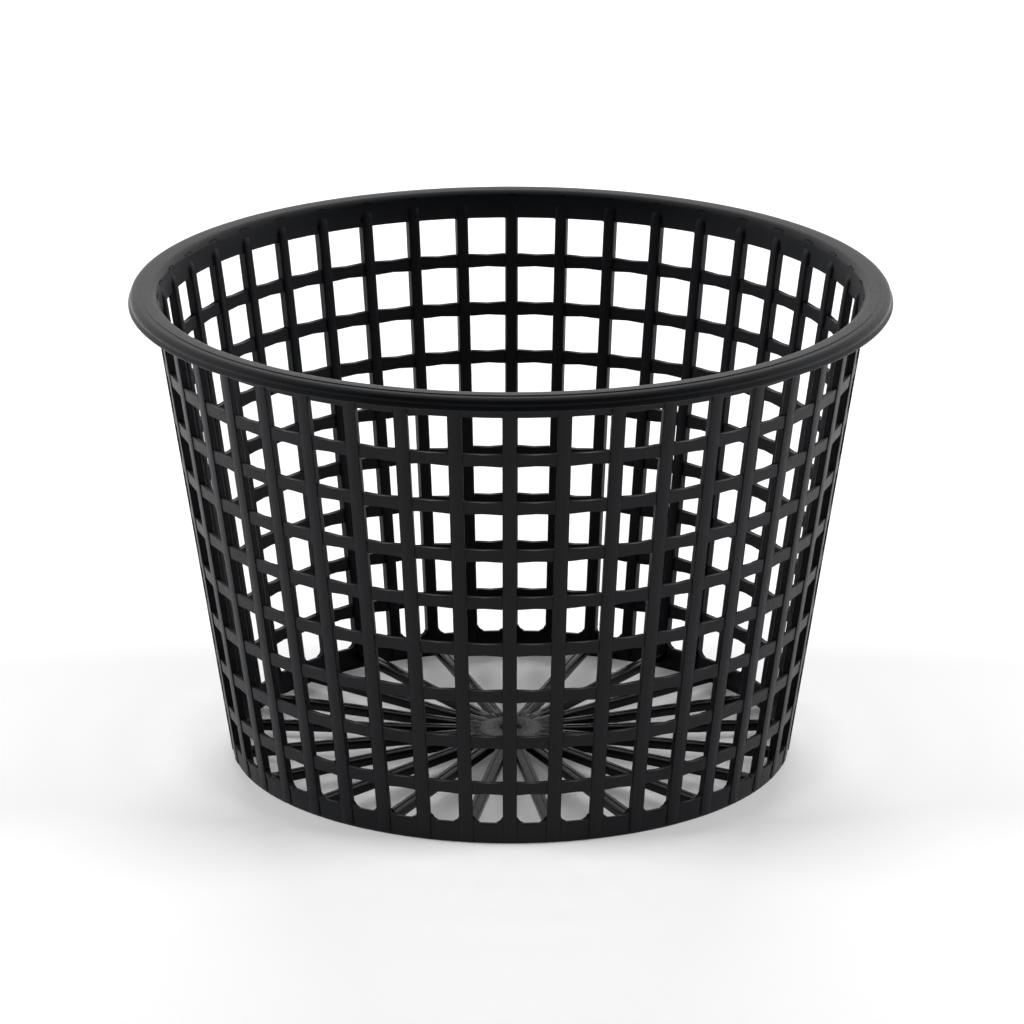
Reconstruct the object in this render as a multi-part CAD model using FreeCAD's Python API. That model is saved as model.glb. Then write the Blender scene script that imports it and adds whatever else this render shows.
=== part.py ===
import FreeCAD, Part
import math
import os

# Hydroponic net pot: a tapered basket moulded in one piece.
# Upright ribs and level rings leave rows of open windows between a rolled rim
# and a plain foot band, and spokes carry a small hub disc in the open floor.
# Millimetres. The foot stands on z = 0 and the pot's axis is Z.

# Wall
foot_radius = 75.2          # outside of the wall at z = 0, on the round bands
wall_angle = 8.67           # degrees that the wall leans out
wall_thickness = 1.3

# Rows of windows, from the foot up
foot_band_height = 5.9
low_window_height = 8.75    # the lowest row is a little shorter
window_height = 10.35
ring_height = 3.08
ring_count = 8

# Ribs
rib_count = 42
rib_turn = -0.15            # degrees that the pattern is turned about the axis
rib_width = 3.7             # across its outer face
rib_inner_width = 3.0       # across its inner face, narrower for the mould's draft
rib_proud = 0.25            # stands out of the wall
rib_depth_inside = 0.75     # stands into the pot
rib_tip_rise = 4.6          # how far a rib climbs the inside of the upper band
rib_tip_slope = 2.2         # height of the slanted end of a rib
rib_foot_gap = 0.9          # plain strip left below the ribs on the foot band

# Upper band and rolled rim
upper_band_height = 7.4     # from the top row of windows to the crest
rim_overhang = 6.5          # from the wall at the crest out to the lip, level
rim_thickness = 1.4
rim_inner_round = 1.9
rim_shoulder_round = 1.7
round_steps = 2             # straight steps in each round corner of the rim
rim_height = 3.5            # crest to the underside of the lip
lip_flare = 0.5             # the skirt widens by this much down to the lip

# Floor
spoke_count = 21
spoke_width = 3.2
spoke_depth = 2.4
floor_height = 4.7          # top of the spokes above the foot
hub_radius = 12.0
gate_dimple_radius = 3.2
gate_dimple_depth = 0.7
gate_stub_radius = 1.1
foot_bevel = 0.5

# Heights that follow
row_pitch = window_height + ring_height
band_edge = foot_band_height + low_window_height + ring_count * row_pitch
crest = band_edge + upper_band_height
rib_pitch = 360.0 / rib_count
spoke_pitch = 360.0 / spoke_count

UP = FreeCAD.Vector(0, 0, 1)
CENTRE = FreeCAD.Vector(0, 0, 0)


def outside(z):
    """Radius of the outside of the wall at height z."""
    return foot_radius + z * math.tan(math.radians(wall_angle))


def inside(z):
    """Radius of the inside of the wall at height z."""
    return outside(z) - wall_thickness


def point(r, z):
    """A point of a profile in the plane y = 0."""
    return FreeCAD.Vector(r, 0, z)


def rounded(centre_r, centre_z, radius, start, end):
    """Points along a round stretch of a profile, angles in degrees from outward."""
    stops = []
    for step in range(round_steps + 1):
        turn = math.radians(start + (end - start) * step / round_steps)
        stops.append(point(centre_r + radius * math.cos(turn), centre_z + radius * math.sin(turn)))
    return stops


def revolved(points):
    """The solid swept by a closed profile that turns once about Z."""
    face = Part.Face(Part.makePolygon(points + points[:1]))
    return face.revolve(CENTRE, UP, 360)


def rib_corners(radius, z):
    """Level points, one on each rib."""
    corners = []
    for number in range(rib_count):
        turn = math.radians(rib_turn - 90 + number * rib_pitch)
        corners.append(FreeCAD.Vector(radius * math.cos(turn), radius * math.sin(turn), z))
    return corners


def flat_sided(low_radius, low, high_radius, high):
    """A solid between two heights whose sides run straight from rib to rib."""
    bottom = rib_corners(low_radius, low)
    top = rib_corners(high_radius, high)
    faces = [Part.Face(Part.makePolygon(level + level[:1])) for level in (bottom, top)]
    for number in range(rib_count):
        side = [bottom[number - 1], bottom[number], top[number], top[number - 1]]
        faces.append(Part.Face(Part.makePolygon(side + side[:1])))
    return Part.Solid(Part.Shell(faces))


def turned(shape, angle):
    """A copy turned about the pot's axis."""
    copy = shape.copy()
    copy.rotate(CENTRE, UP, angle)
    return copy


def rim():
    """The upper band and the rim, rolled over into a lip that is open below."""
    inner_r = inside(crest - rim_inner_round) + rim_inner_round
    lip_r = outside(crest) + rim_overhang
    shoulder_r = lip_r - lip_flare - rim_shoulder_round
    lip_z = crest - rim_height
    roof_z = crest - rim_thickness
    hollow_r = lip_r - lip_flare - rim_thickness
    profile = [point(inside(band_edge), band_edge)]
    profile += rounded(inner_r, crest - rim_inner_round, rim_inner_round, 180, 90)
    profile += rounded(shoulder_r, crest - rim_shoulder_round, rim_shoulder_round, 90, 0)
    profile += [point(lip_r, lip_z), point(hollow_r, lip_z), point(hollow_r, roof_z)]
    profile += [point(outside(roof_z), roof_z), point(outside(band_edge), band_edge)]
    return revolved(profile)


def ring(low, high):
    """A level strand of the wall between two heights."""
    outer = flat_sided(outside(low), low, outside(high), high)
    return outer.cut(flat_sided(inside(low), low, inside(high), high))


def foot_band():
    """The plain band at the foot, with its lower outer corner broken."""
    corners = [point(inside(0), 0), point(outside(0) - foot_bevel, 0)]
    corners += [point(outside(foot_bevel), foot_bevel)]
    corners += [point(outside(foot_band_height), foot_band_height)]
    corners += [point(inside(foot_band_height), foot_band_height)]
    return revolved(corners)


def rib_section(z):
    """The drafted section of a rib at height z, square to the pot's axis."""
    outer_r = outside(z) + rib_proud
    inner_r = inside(z) - rib_depth_inside
    corners = [(outer_r, rib_width / 2.0), (inner_r, rib_inner_width / 2.0)]
    corners += [(inner_r, -rib_inner_width / 2.0), (outer_r, -rib_width / 2.0)]
    points = [FreeCAD.Vector(r, across, z) for r, across in corners]
    return Part.makePolygon(points + points[:1])


def rib():
    """One rib in the plane y = 0, from the foot band to the rim."""
    low = rib_foot_gap
    high = crest - rim_thickness / 2.0
    tip = band_edge + rib_tip_rise
    floor_low = floor_height - spoke_depth
    outline = [point(outside(low) + rib_proud, low), point(outside(high) + rib_proud, high)]
    outline += [point(outside(high) - wall_thickness / 2.0, high)]
    outline += [point(outside(tip) - wall_thickness / 2.0, tip)]
    outline += [point(inside(tip - rib_tip_slope) - rib_depth_inside, tip - rib_tip_slope)]
    outline += [point(inside(floor_low) - rib_depth_inside, floor_low)]
    outline += [point(inside(floor_low) + wall_thickness / 2.0, floor_low)]
    outline += [point(outside(low) - wall_thickness / 2.0, low)]
    side = Part.Face(Part.makePolygon(outline + outline[:1]))
    side.translate(FreeCAD.Vector(0, -rib_width, 0))
    bar = Part.makeLoft([rib_section(0), rib_section(crest)], True, True)
    return bar.common(side.extrude(FreeCAD.Vector(0, 2 * rib_width, 0)))


def spoke():
    """One spoke along +X, from the hub into the foot band."""
    start = hub_radius / 2.0
    low = floor_height - spoke_depth
    reach = inside(floor_height) + wall_thickness / 2.0
    corner = FreeCAD.Vector(start, -spoke_width / 2.0, low)
    return Part.makeBox(reach - start, spoke_width, spoke_depth, corner)


def hub():
    """The disc at the middle of the floor, with the moulding gate's dimple and stub."""
    low = floor_height - spoke_depth
    disc = Part.makeCylinder(hub_radius, spoke_depth, FreeCAD.Vector(0, 0, low))
    dimple_z = floor_height - gate_dimple_depth
    dimple = Part.makeCylinder(gate_dimple_radius, spoke_depth, FreeCAD.Vector(0, 0, dimple_z))
    stub = Part.makeCylinder(gate_stub_radius, gate_dimple_depth, FreeCAD.Vector(0, 0, dimple_z))
    return disc.cut(dimple).fuse(stub)


def net_pot():
    """The whole pot as one solid."""
    pieces = [foot_band()]
    for number in range(ring_count):
        low = foot_band_height + low_window_height + number * row_pitch
        pieces.append(ring(low, low + ring_height))
    one_rib = rib()
    for number in range(rib_count):
        pieces.append(turned(one_rib, -90 + rib_turn + number * rib_pitch))
    one_spoke = spoke()
    for number in range(spoke_count):
        pieces.append(turned(one_spoke, -90 + rib_turn + (number + 0.5) * spoke_pitch))
    body = rim().multiFuse(pieces + [hub()])
    return body.removeSplitter()


os.makedirs("parts", exist_ok=True)
net_pot().exportStep("parts/net_pot.step")
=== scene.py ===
import math

import bmesh
import bpy
from mathutils import Matrix, Vector


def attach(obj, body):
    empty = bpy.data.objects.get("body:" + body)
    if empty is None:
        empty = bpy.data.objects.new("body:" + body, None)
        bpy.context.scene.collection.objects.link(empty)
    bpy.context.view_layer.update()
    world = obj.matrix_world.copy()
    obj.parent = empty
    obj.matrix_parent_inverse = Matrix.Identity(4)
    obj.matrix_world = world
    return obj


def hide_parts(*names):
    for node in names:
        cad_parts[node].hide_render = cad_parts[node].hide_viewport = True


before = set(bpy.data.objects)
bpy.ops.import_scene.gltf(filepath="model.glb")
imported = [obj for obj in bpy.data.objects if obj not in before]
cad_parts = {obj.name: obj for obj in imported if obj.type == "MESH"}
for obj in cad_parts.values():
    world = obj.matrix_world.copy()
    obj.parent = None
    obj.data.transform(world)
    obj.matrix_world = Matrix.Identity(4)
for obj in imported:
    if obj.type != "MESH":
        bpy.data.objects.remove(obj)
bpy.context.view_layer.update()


# ---------------------------------------------------------------------------
# Lattice wall
# Upright ribs and level rings of black polypropylene, moulded in one shot with
# the rim and the floor. The ribs stand a little proud of the rings on both
# sides, and every corner is softened where the mould's edges were broken.

foot_radius = 0.0752
wall_slope = math.tan(math.radians(8.67))
wall_thickness = 0.0013

foot_band_height = 0.0059
low_window_height = 0.00875
window_height = 0.01035
ring_height = 0.00308
ring_count = 8
band_edge = foot_band_height + low_window_height + ring_count * (window_height + ring_height)
crest = band_edge + 0.0074

rib_count = 42
rib_pitch = 2 * math.pi / rib_count
rib_turn = math.radians(-0.15)
rib_outer_width = 0.0037
rib_inner_width = 0.0030
rib_proud = 0.00025
rib_inside = 0.00075
rib_foot = 0.0009
rib_tip = band_edge + 0.0046
rib_tip_slope = 0.0022
rib_top = crest - 0.0008

tip_break = 0.45            # where the tip's slope turns steeper, as a share of the slope
tip_break_depth = 0.4       # how far the slope has come in there, as a share of the rib's inner depth
tip_break_width = 0.75
tip_end_sunk = 0.0004       # the tip ends inside the wall
tip_end_width = 0.3

window_corner = 0.00018
window_corner_steps = 1
low_corner = 0.0017
low_corner_steps = 6
outer_edge_round = 0.00024
inner_edge_round = 0.0006
ring_edge_round = 0.00025
edge_round_steps = 2
band_overlap = 0.0006       # how far a corner web reaches into a plain band
web_sunk = 0.00005
mid_bay = 0.02              # stands for the middle of the bay until the strip is bent
hair = 1e-6                 # two points closer than this are one point


def outside(z):
    """Radius of the outside of the wall at height z."""
    return foot_radius + wall_slope * z


def cut_level(bm, point, normal):
    """Cuts every face along a plane, so that a row of faces can be drawn out."""
    whole = bm.verts[:] + bm.edges[:] + bm.faces[:]
    bmesh.ops.bisect_plane(bm, geom=whole, plane_co=point, plane_no=normal)


def flank_face(bm, side, low, high):
    """The face on a rib's flank that lies between two heights and within the wall's thickness."""
    for face in bm.faces:
        middle = face.calc_center_median()
        if face.normal.x * side > 0.9 and low < middle.z < high and -wall_thickness < middle.y < 0:
            return face
    raise ValueError("no flank face between these heights")


def draw_out(bm, face, x, low, high):
    """Extrudes a flank face to x, and sets its lower and upper edges to two heights."""
    face = bmesh.ops.extrude_discrete_faces(bm, faces=[face])["faces"][0]
    middle = face.calc_center_median().z
    for vert in face.verts:
        vert.co.x = x
        vert.co.z = low if vert.co.z < middle else high
    return face


def corner_stops(radius, steps):
    """Distance from the rib and height above the ring for each step round a window's corner."""
    stops = []
    for step in range(1, steps + 1):
        turn = math.pi / 2 * step / steps
        stops.append((radius * (1 - math.cos(turn)), radius * (1 - math.sin(turn))))
    return stops


def half_ring(bm, side, low, high):
    """Half a ring from a rib to the middle of the bay, with its corners eased at the rib."""
    face = flank_face(bm, side, low - window_corner, high + window_corner)
    flank = rib_outer_width / 2
    for away, rise in corner_stops(window_corner, window_corner_steps):
        face = draw_out(bm, face, side * (flank + away), low - rise, high + rise)
    face = draw_out(bm, face, side * mid_bay, low, high)
    bmesh.ops.delete(bm, geom=[face], context="FACES_ONLY")


def corner_web(bm, side, edge, radius, upwards):
    """The corner of a window where a rib meets the band below it, or else the band above."""
    flank = rib_outer_width / 2
    if upwards:
        inside_band = edge - band_overlap
        face = flank_face(bm, side, inside_band, edge + radius)
        for away, rise in corner_stops(radius, low_corner_steps):
            face = draw_out(bm, face, side * (flank + away), inside_band, edge + rise - web_sunk)
    else:
        inside_band = edge + band_overlap
        face = flank_face(bm, side, edge - radius, inside_band)
        for away, rise in corner_stops(radius, window_corner_steps):
            face = draw_out(bm, face, side * (flank + away), edge - rise + web_sunk, inside_band)


def rib_strip():
    """One rib with half of every ring on each side, bent to the pot's cone."""
    bm = bmesh.new()
    depth = rib_proud + wall_thickness + rib_inside
    bmesh.ops.create_cube(bm, size=1.0)
    bmesh.ops.scale(bm, vec=(rib_outer_width, depth, rib_top - rib_foot), verts=bm.verts)
    bmesh.ops.translate(bm, vec=(0, rib_proud - depth / 2, (rib_top + rib_foot) / 2), verts=bm.verts)

    rings = []
    for number in range(ring_count):
        low = foot_band_height + low_window_height + number * (window_height + ring_height)
        rings.append((low, low + ring_height))
    levels = [foot_band_height - band_overlap, foot_band_height + low_corner]
    for low, high in rings:
        levels += [low - window_corner, high + window_corner]
    levels += [band_edge - window_corner, band_edge + band_overlap]
    levels += [rib_tip - rib_tip_slope, rib_tip - rib_tip_slope * tip_break, rib_tip]
    for level in levels:
        cut_level(bm, (0, 0, level), (0, 0, 1))
    for level in (0, -wall_thickness):
        cut_level(bm, (0, level, 0), (0, 1, 0))

    for side in (-1, 1):
        for low, high in rings:
            half_ring(bm, side, low, high)
        corner_web(bm, side, foot_band_height, low_corner, True)
        corner_web(bm, side, band_edge, window_corner, False)

    # the long edges that get broken, named before the strip is bent
    half = rib_outer_width / 2
    outer_edges, inner_edges, ring_edges = [], [], []
    for edge in bm.edges:
        first, second = (vert.co for vert in edge.verts)
        level_run = abs(first.x - second.x) > hair
        if max(abs(first.x), abs(second.x)) > half + hair:
            if level_run and abs(first.y - second.y) < hair and not edge.is_boundary:
                ring_edges.append(edge)
        elif not level_run and abs(first.x) > half - hair:
            if min(first.y, second.y) > rib_proud - hair:
                outer_edges.append(edge)
            elif max(first.y, second.y) < -wall_thickness - rib_inside + hair:
                inner_edges.append(edge)

    # the mould's draft, the rounded inner tip and the bend round the pot
    for vert in bm.verts:
        x, y, z = vert.co
        if abs(x) < half + hair:
            share = (rib_proud - y) / depth
            x *= 1 + (rib_inner_width / rib_outer_width - 1) * share
            if y < -wall_thickness - hair:
                if z > rib_tip - hair:
                    y = -wall_thickness + tip_end_sunk
                    x *= tip_end_width
                elif z > rib_tip - rib_tip_slope + hair:
                    y += rib_inside * tip_break_depth
                    x *= tip_break_width
        radius = outside(z) + y
        if abs(x) > mid_bay - hair:
            turn = math.copysign(rib_pitch / 2, x)
            vert.co = (-radius * math.sin(turn), -radius * math.cos(turn), z)
        else:
            vert.co = (-x, -radius, z)

    for edges, width in (
        (ring_edges, ring_edge_round),
        (outer_edges, outer_edge_round),
        (inner_edges, inner_edge_round),
    ):
        bmesh.ops.bevel(
            bm, geom=[edge for edge in edges if edge.is_valid], offset=width, offset_type="OFFSET",
            segments=edge_round_steps, profile=0.5, affect="EDGES", material=-1,
        )
    return bm


def finish_piece(bm, name, material):
    """Turns a bmesh into a smooth-shaded piece that rides on the pot's one body."""
    bmesh.ops.remove_doubles(bm, verts=bm.verts, dist=hair)
    bmesh.ops.recalc_face_normals(bm, faces=bm.faces)
    mesh = bpy.data.meshes.new(name)
    bm.to_mesh(mesh)
    bm.free()
    piece = bpy.data.objects.new(name, mesh)
    bpy.context.scene.collection.objects.link(piece)
    mesh.materials.append(material)
    mesh.shade_smooth()
    mesh.set_sharp_from_angle(angle=math.radians(50))
    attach(piece, "root")
    return piece


def moulded_black(name, tone, roughness, streak_height, grain_height):
    """Black polypropylene as moulded: soft patches, faint flow streaks up the wall, a fine grain."""
    material = bpy.data.materials.new(name)
    material.use_nodes = True
    nodes, links = material.node_tree.nodes, material.node_tree.links
    shader = nodes["Principled BSDF"]
    shader.inputs["Specular IOR Level"].default_value = 0.2
    place = nodes.new("ShaderNodeTexCoord")

    # the streaks' noise is fine round the pot and drawn out along its height
    stretch = nodes.new("ShaderNodeMapping")
    stretch.inputs["Scale"].default_value = (1900, 1900, 60)
    links.new(place.outputs["Object"], stretch.inputs["Vector"])
    streaks = nodes.new("ShaderNodeTexNoise")
    streaks.inputs["Scale"].default_value = 1.0
    streaks.inputs["Detail"].default_value = 3.0
    links.new(stretch.outputs["Vector"], streaks.inputs["Vector"])

    grain = nodes.new("ShaderNodeTexNoise")
    grain.inputs["Scale"].default_value = 2600
    grain.inputs["Detail"].default_value = 2.0
    links.new(place.outputs["Object"], grain.inputs["Vector"])

    patches = nodes.new("ShaderNodeTexNoise")
    patches.inputs["Scale"].default_value = 55
    patches.inputs["Detail"].default_value = 4.0
    links.new(place.outputs["Object"], patches.inputs["Vector"])

    colour = nodes.new("ShaderNodeValToRGB")
    colour.color_ramp.elements[0].position = 0.3
    colour.color_ramp.elements[0].color = tuple(0.75 * part for part in tone) + (1,)
    colour.color_ramp.elements[1].position = 0.7
    colour.color_ramp.elements[1].color = tuple(1.3 * part for part in tone) + (1,)
    links.new(patches.outputs["Fac"], colour.inputs["Fac"])
    links.new(colour.outputs["Color"], shader.inputs["Base Color"])

    sheen_spread = nodes.new("ShaderNodeMapRange")
    sheen_spread.inputs["From Min"].default_value = 0.3
    sheen_spread.inputs["From Max"].default_value = 0.7
    sheen_spread.inputs["To Min"].default_value = roughness - 0.05
    sheen_spread.inputs["To Max"].default_value = roughness + 0.08
    links.new(streaks.outputs["Fac"], sheen_spread.inputs["Value"])
    links.new(sheen_spread.outputs["Result"], shader.inputs["Roughness"])

    streak_bump = nodes.new("ShaderNodeBump")
    streak_bump.inputs["Strength"].default_value = 1.0
    streak_bump.inputs["Distance"].default_value = streak_height
    links.new(streaks.outputs["Fac"], streak_bump.inputs["Height"])
    grain_bump = nodes.new("ShaderNodeBump")
    grain_bump.inputs["Strength"].default_value = 1.0
    grain_bump.inputs["Distance"].default_value = grain_height
    links.new(grain.outputs["Fac"], grain_bump.inputs["Height"])
    links.new(streak_bump.outputs["Normal"], grain_bump.inputs["Normal"])
    links.new(grain_bump.outputs["Normal"], shader.inputs["Normal"])
    return material


cool_black = (0.003, 0.0034, 0.0046)
streak_depth = 0.00003
grain_depth = 0.00001
wall_black = moulded_black("wall_black", cool_black, 0.40, streak_depth, grain_depth)

lattice_mesh = rib_strip()
bmesh.ops.rotate(
    lattice_mesh, cent=(0, 0, 0), matrix=Matrix.Rotation(rib_turn, 3, "Z"),
    verts=lattice_mesh.verts,
)
bmesh.ops.spin(
    lattice_mesh, geom=lattice_mesh.verts[:] + lattice_mesh.edges[:] + lattice_mesh.faces[:],
    cent=(0, 0, 0), axis=(0, 0, 1), angle=rib_pitch * (rib_count - 1), steps=rib_count - 1,
    use_duplicate=True,
)
lattice = finish_piece(lattice_mesh, "lattice_wall", wall_black)
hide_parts("net_pot")


# ---------------------------------------------------------------------------
# Foot band
# A plain hoop under the lowest row of windows, part of the same moulding. Its
# lower outer corner is rounded over where it meets the bench.

band_edge_round = 0.0003
foot_inner_round = 0.0002
foot_outer_round = 0.0007
corner_steps = 6
foot_facets_per_bay = 6


def turned_piece(corners, steps):
    """A closed profile of (radius, height, corner round) spun once about the pot's axis."""
    bm = bmesh.new()
    outline = [bm.verts.new((radius, 0, height)) for radius, height, _ in corners]
    bm.faces.new(outline)
    for vert, (_, _, corner) in zip(outline, corners):
        if corner > 0:
            bmesh.ops.bevel(
                bm, geom=[vert], offset=corner, offset_type="OFFSET", segments=corner_steps,
                profile=0.5, affect="VERTICES", material=-1,
            )
    bmesh.ops.delete(bm, geom=bm.faces[:], context="FACES_ONLY")
    bmesh.ops.spin(
        bm, geom=bm.verts[:] + bm.edges[:], cent=(0, 0, 0), axis=(0, 0, 1),
        angle=2 * math.pi, steps=steps, use_merge=True,
    )
    return bm


foot_profile = [
    (outside(0) - wall_thickness, 0, foot_inner_round),
    (outside(0), 0, foot_outer_round),
    (outside(foot_band_height), foot_band_height, band_edge_round),
    (outside(foot_band_height) - wall_thickness, foot_band_height, band_edge_round),
]
finish_piece(turned_piece(foot_profile, foot_facets_per_bay * rib_count), "foot_band", wall_black)


# ---------------------------------------------------------------------------
# Upper band and rim
# The wall closes into a plain band and rolls over into a stiff rim with a flat
# top, a short skirt and a lip that stands out. Below, the rim is open.

rim_overhang = 0.0065
rim_height = 0.0035
rim_wall = 0.0014
rim_inner_round = 0.0019
rim_shoulder_round = 0.0017
rim_hollow_round = 0.0006
rim_facets_per_bay = 8

rim_inner = outside(crest) - wall_thickness
step_depth = 0.0002         # the outer part of the rim's top lies this much lower
step_start = rim_inner + 0.0043
step_end = step_start + 0.00015

lip_flare = 0.0005
lip_flare_start = 0.0011    # heights above the lip's underside
lip_flare_end = 0.0006
lip_edge_round = 0.00025
skirt_inner_round = 0.0002
lip_radius = outside(crest) + rim_overhang
lip_bottom = crest - rim_height
skirt_radius = lip_radius - lip_flare

rim_profile = [
    (outside(band_edge) - wall_thickness, band_edge, band_edge_round),
    (rim_inner, crest, rim_inner_round),
    (step_start, crest, 0.0),
    (step_end, crest - step_depth, 0.0),
    (skirt_radius, crest - step_depth, rim_shoulder_round),
    (skirt_radius, lip_bottom + lip_flare_start, 0.0),
    (lip_radius, lip_bottom + lip_flare_end, lip_edge_round),
    (lip_radius, lip_bottom, lip_edge_round),
    (skirt_radius - rim_wall, lip_bottom, skirt_inner_round),
    (skirt_radius - rim_wall, crest - rim_wall, rim_hollow_round),
    (outside(crest - rim_wall), crest - rim_wall, rim_hollow_round),
    (outside(band_edge), band_edge, band_edge_round),
]

witness_half_width = 0.011  # as a share of the bay between two ribs
witness_depth = 0.00025
# painted shade: the colour along each witness groove is mixed toward this darker black
witness_shade_black = (0.001, 0.001, 0.001, 1)


def add_witness_grooves_and_shade(material):
    """Hairline grooves across the rim above the ribs, each of its own strength by chance, with painted
    shade darkening the colour along each groove.
    """
    nodes, links = material.node_tree.nodes, material.node_tree.links
    shader = nodes["Principled BSDF"]

    def worked(operation, first, second=0.0):
        """Links one Math node to sockets or numbers, and gives its result."""
        step = nodes.new("ShaderNodeMath")
        step.operation = operation
        for socket, value in zip(step.inputs, (first, second)):
            if isinstance(value, float):
                socket.default_value = value
            else:
                links.new(value, socket)
        return step.outputs["Value"]

    place = nodes.new("ShaderNodeTexCoord")
    parts = nodes.new("ShaderNodeSeparateXYZ")
    links.new(place.outputs["Object"], parts.inputs["Vector"])
    angle = worked("ARCTAN2", parts.outputs["X"], parts.outputs["Y"])
    # bays are counted round the rim, from a start of 100 that keeps the count above nought,
    # and the half puts each rib in the middle of its count
    start = 100.5 + rib_turn / rib_pitch
    bays = worked("ADD", worked("MULTIPLY", angle, 1 / rib_pitch), start)
    off_line = worked("ABSOLUTE", worked("SUBTRACT", worked("FRACT", bays), 0.5))
    line = worked("LESS_THAN", off_line, witness_half_width)
    chance = nodes.new("ShaderNodeTexWhiteNoise")
    chance.noise_dimensions = "1D"
    links.new(worked("FLOOR", bays), chance.inputs["W"])
    mark = worked("MULTIPLY", line, worked("POWER", chance.outputs["Value"], 2.0))

    # painted shade: the base colour darkens along each groove, on top of the bump groove below
    shade = nodes.new("ShaderNodeMix")
    shade.data_type = "RGBA"
    shade.inputs["B"].default_value = witness_shade_black
    links.new(mark, shade.inputs["Factor"])
    links.new(shader.inputs["Base Color"].links[0].from_socket, shade.inputs["A"])
    links.new(shade.outputs["Result"], shader.inputs["Base Color"])
    groove = nodes.new("ShaderNodeBump")
    groove.invert = True
    groove.inputs["Distance"].default_value = witness_depth
    links.new(mark, groove.inputs["Height"])
    links.new(shader.inputs["Normal"].links[0].from_socket, groove.inputs["Normal"])
    links.new(groove.outputs["Normal"], shader.inputs["Normal"])


rim_streak_depth = 0.00002
rim_black = moulded_black("rim_black", cool_black, 0.34, rim_streak_depth, grain_depth)
add_witness_grooves_and_shade(rim_black)
finish_piece(turned_piece(rim_profile, rim_facets_per_bay * rib_count), "rim", rim_black)


# ---------------------------------------------------------------------------
# Floor
# Spokes run from the foot band to a small hub disc. The disc carries the round
# gate mark of the moulding, and each spoke has a fine groove along its top.

spoke_count = 21
spoke_width = 0.0032
spoke_depth = 0.0024
floor_top = 0.0047
spoke_edge_round = 0.0003
spoke_pitch = 2 * math.pi / spoke_count
spoke_start_share = 0.7     # each spoke starts inside the hub, at this share of its radius
hub_radius = 0.012
hub_low_round = 0.0003
hub_top_round = 0.0004
hub_facets = 84

groove_width = 0.0009
groove_depth = 0.00025
groove_lead = 0.00015
groove_start = hub_radius + 0.003
groove_end_gap = 0.004

dimple_radius = 0.0032
dimple_floor_radius = 0.0029
dimple_depth = 0.0007
dimple_edge_round = 0.0003
dimple_floor_round = 0.0002
gate_stub_radius = 0.0011
gate_stub_top_radius = 0.0010
gate_stub_below_top = 0.0001
pinhole_radius = 0.0001


def spoke():
    """One spoke along -Y, with broken edges and a groove along its top."""
    bm = bmesh.new()
    start = hub_radius * spoke_start_share
    reach = outside(floor_top) - wall_thickness / 2
    groove_end = reach - groove_end_gap
    bmesh.ops.create_cube(bm, size=1.0)
    bmesh.ops.scale(bm, vec=(spoke_width, reach - start, spoke_depth), verts=bm.verts)
    bmesh.ops.translate(bm, vec=(0, -(reach + start) / 2, floor_top - spoke_depth / 2), verts=bm.verts)
    long_edges = [edge for edge in bm.edges if abs(edge.verts[0].co.y - edge.verts[1].co.y) > spoke_width]
    bmesh.ops.bevel(
        bm, geom=long_edges, offset=spoke_edge_round, offset_type="OFFSET", segments=2,
        profile=0.5, affect="EDGES", material=-1,
    )
    for x in (-groove_width / 2, groove_width / 2):
        cut_level(bm, (x, 0, 0), (1, 0, 0))
    for y in (groove_start, groove_end):
        cut_level(bm, (0, -y, 0), (0, 1, 0))
    top = [
        face for face in bm.faces
        if face.normal.z > 0.9 and abs(face.calc_center_median().x) < groove_width / 4
        and groove_start < -face.calc_center_median().y < groove_end
    ]
    bmesh.ops.inset_region(bm, faces=top, thickness=groove_lead, depth=-groove_depth)
    return bm


floor_black = moulded_black("floor_black", (0.003, 0.003, 0.0038), 0.20, streak_depth, grain_depth)
spokes_mesh = spoke()
bmesh.ops.rotate(
    spokes_mesh, cent=(0, 0, 0), matrix=Matrix.Rotation(rib_turn + spoke_pitch / 2, 3, "Z"),
    verts=spokes_mesh.verts,
)
bmesh.ops.spin(
    spokes_mesh, geom=spokes_mesh.verts[:] + spokes_mesh.edges[:] + spokes_mesh.faces[:],
    cent=(0, 0, 0), axis=(0, 0, 1), angle=spoke_pitch * (spoke_count - 1), steps=spoke_count - 1,
    use_duplicate=True,
)
finish_piece(spokes_mesh, "spokes", floor_black)

hub_bottom = floor_top - spoke_depth
dimple_floor = floor_top - dimple_depth
stub_top = floor_top - gate_stub_below_top
hub_profile = [
    (pinhole_radius, hub_bottom, 0.0),
    (hub_radius, hub_bottom, hub_low_round),
    (hub_radius, floor_top, hub_top_round),
    (dimple_radius, floor_top, dimple_edge_round),
    (dimple_floor_radius, dimple_floor, dimple_floor_round),
    (gate_stub_radius, dimple_floor, dimple_floor_round),
    (gate_stub_top_radius, stub_top, dimple_edge_round),
    (pinhole_radius, stub_top, 0.0),
]
finish_piece(turned_piece(hub_profile, hub_facets), "hub", floor_black)


# ---------------------------------------------------------------------------
# Bench, light and camera
# A pale bench top and a plain white surround, with a soft lamp low at each side
# and one behind. The lamps light the pot without showing in its gloss.

bench_white = bpy.data.materials.new("bench_white")
bench_white.use_nodes = True
nodes, links = bench_white.node_tree.nodes, bench_white.node_tree.links
bench_shader = nodes["Principled BSDF"]
bench_shader.inputs["Roughness"].default_value = 0.8
bench_shader.inputs["Specular IOR Level"].default_value = 0.0
bench_shader.inputs["Base Color"].default_value = (0.93, 0.93, 0.93, 1)
rays = nodes.new("ShaderNodeLightPath")
lift = nodes.new("ShaderNodeMath")
lift.operation = "MULTIPLY"
lift.inputs[1].default_value = 0.08
links.new(rays.outputs["Is Camera Ray"], lift.inputs[0])
bench_shader.inputs["Emission Color"].default_value = (1, 1, 1, 1)
links.new(lift.outputs["Value"], bench_shader.inputs["Emission Strength"])

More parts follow.
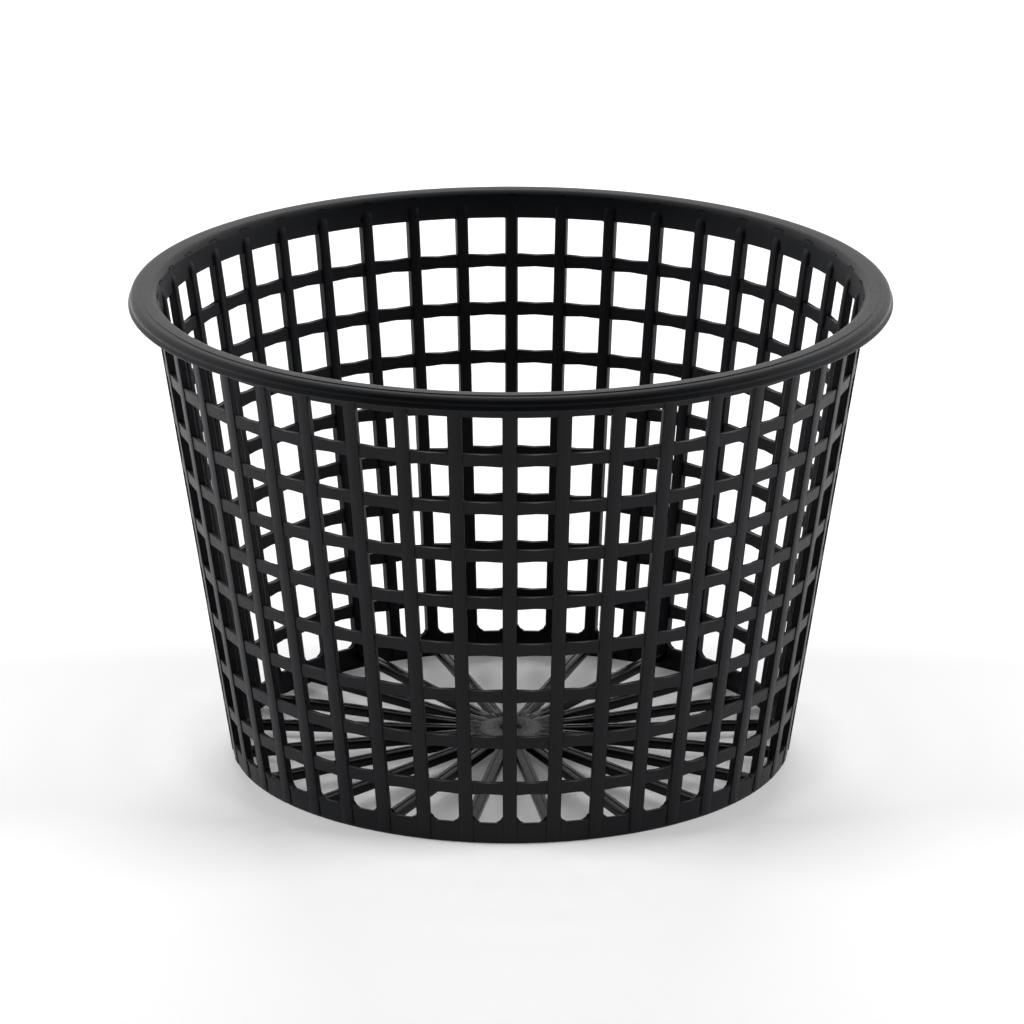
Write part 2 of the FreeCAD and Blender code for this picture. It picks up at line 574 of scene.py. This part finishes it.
bench_mesh = bmesh.new()
bmesh.ops.create_grid(bench_mesh, x_segments=1, y_segments=1, size=6.0)
bench_top = bpy.data.meshes.new("bench")
bench_mesh.to_mesh(bench_top)
bench_mesh.free()
bench = bpy.data.objects.new("bench", bench_top)
bpy.context.scene.collection.objects.link(bench)
bench_top.materials.append(bench_white)

world = bpy.data.worlds.new("surround")
bpy.context.scene.world = world
world.use_nodes = True
nodes, links = world.node_tree.nodes, world.node_tree.links
nodes.clear()


def white_surround(strength):
    """A plain white background of one strength."""
    background = nodes.new("ShaderNodeBackground")
    background.inputs["Color"].default_value = (1, 1, 1, 1)
    background.inputs["Strength"].default_value = strength
    return background


output = nodes.new("ShaderNodeOutputWorld")
seen = white_surround(1.0)
lighting = white_surround(0.12)
mirrored = white_surround(1.0)

# what the gloss mirrors is white behind the pot and falls off to dark in front of it
heading = nodes.new("ShaderNodeTexCoord")
parts = nodes.new("ShaderNodeSeparateXYZ")
links.new(heading.outputs["Generated"], parts.inputs["Vector"])
far_side = nodes.new("ShaderNodeMapRange")
far_side.inputs["From Min"].default_value = -0.45
far_side.inputs["From Max"].default_value = 0.15
far_side.inputs["To Min"].default_value = 0.04
far_side.inputs["To Max"].default_value = 1.0
links.new(parts.outputs["Y"], far_side.inputs["Value"])
links.new(far_side.outputs["Result"], mirrored.inputs["Strength"])

rays = nodes.new("ShaderNodeLightPath")
gloss_mix = nodes.new("ShaderNodeMixShader")
links.new(rays.outputs["Is Glossy Ray"], gloss_mix.inputs["Fac"])
links.new(lighting.outputs["Background"], gloss_mix.inputs[1])
links.new(mirrored.outputs["Background"], gloss_mix.inputs[2])
camera_mix = nodes.new("ShaderNodeMixShader")
links.new(rays.outputs["Is Camera Ray"], camera_mix.inputs["Fac"])
links.new(gloss_mix.outputs["Shader"], camera_mix.inputs[1])
links.new(seen.outputs["Background"], camera_mix.inputs[2])
links.new(camera_mix.outputs["Shader"], output.inputs["Surface"])


def soft_lamp(name, place, aim, size, power):
    """A square soft lamp that points at aim."""
    lamp = bpy.data.lights.new(name, "AREA")
    lamp.shape = "SQUARE"
    lamp.size = size
    lamp.energy = power
    holder = bpy.data.objects.new(name, lamp)
    holder.location = place
    holder.visible_glossy = False
    holder.rotation_euler = (Vector(aim) - Vector(place)).to_track_quat("-Z", "Y").to_euler()
    bpy.context.scene.collection.objects.link(holder)


lamp_aim = (0, 0, 0.03)
soft_lamp("left_lamp", (-1.35, -0.1, 0.5), lamp_aim, 0.8, 24)
soft_lamp("right_lamp", (1.35, -0.1, 0.5), lamp_aim, 0.8, 24)
soft_lamp("back_lamp", (0.0, 1.5, 0.55), lamp_aim, 1.0, 26)

camera_distance = 1.717
camera_rise = math.radians(18.34)
aim = Vector((0.00036, 0, 0.0662))
camera = bpy.data.cameras.new("camera")
camera.sensor_width = 36
camera.lens = 224.9
camera.clip_start = 0.05
camera.clip_end = 50
holder = bpy.data.objects.new("camera", camera)
towards_camera = Vector((0, -math.cos(camera_rise), math.sin(camera_rise)))
holder.location = aim + towards_camera * camera_distance
holder.rotation_euler = (-towards_camera).to_track_quat("-Z", "Y").to_euler()
bpy.context.scene.collection.objects.link(holder)
bpy.context.scene.camera = holder
bpy.context.scene.view_settings.view_transform = "Standard"
